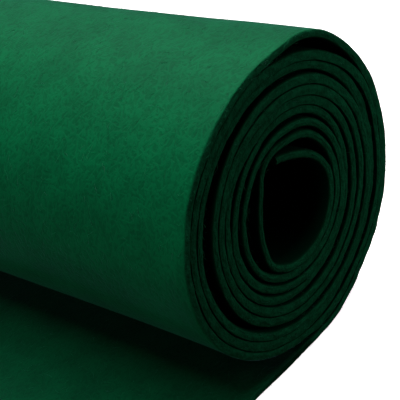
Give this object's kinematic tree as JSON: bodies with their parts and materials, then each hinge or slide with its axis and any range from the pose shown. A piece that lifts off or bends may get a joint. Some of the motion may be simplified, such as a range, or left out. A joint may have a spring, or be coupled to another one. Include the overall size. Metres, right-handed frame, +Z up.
{
  "type": "roll of felt",
  "caption": "One length of thick needled craft felt wound without a core, its last half turn left lying flat in front of the roll.",
  "frame": {"origin": "on the surface that the felt rests on, under the middle of the whole piece, loose end included", "axes": "+X along the roll, +Y from the loose end towards the roll, +Z up"},
  "size_m": [0.3, 0.2038, 0.1064],
  "materials": {
    "felt": "dark green needled felt, matt, with fine loose fibres on the face"
  },
  "bodies": {
    "root": {"felt": "felt"}
  },
  "joints": []
}
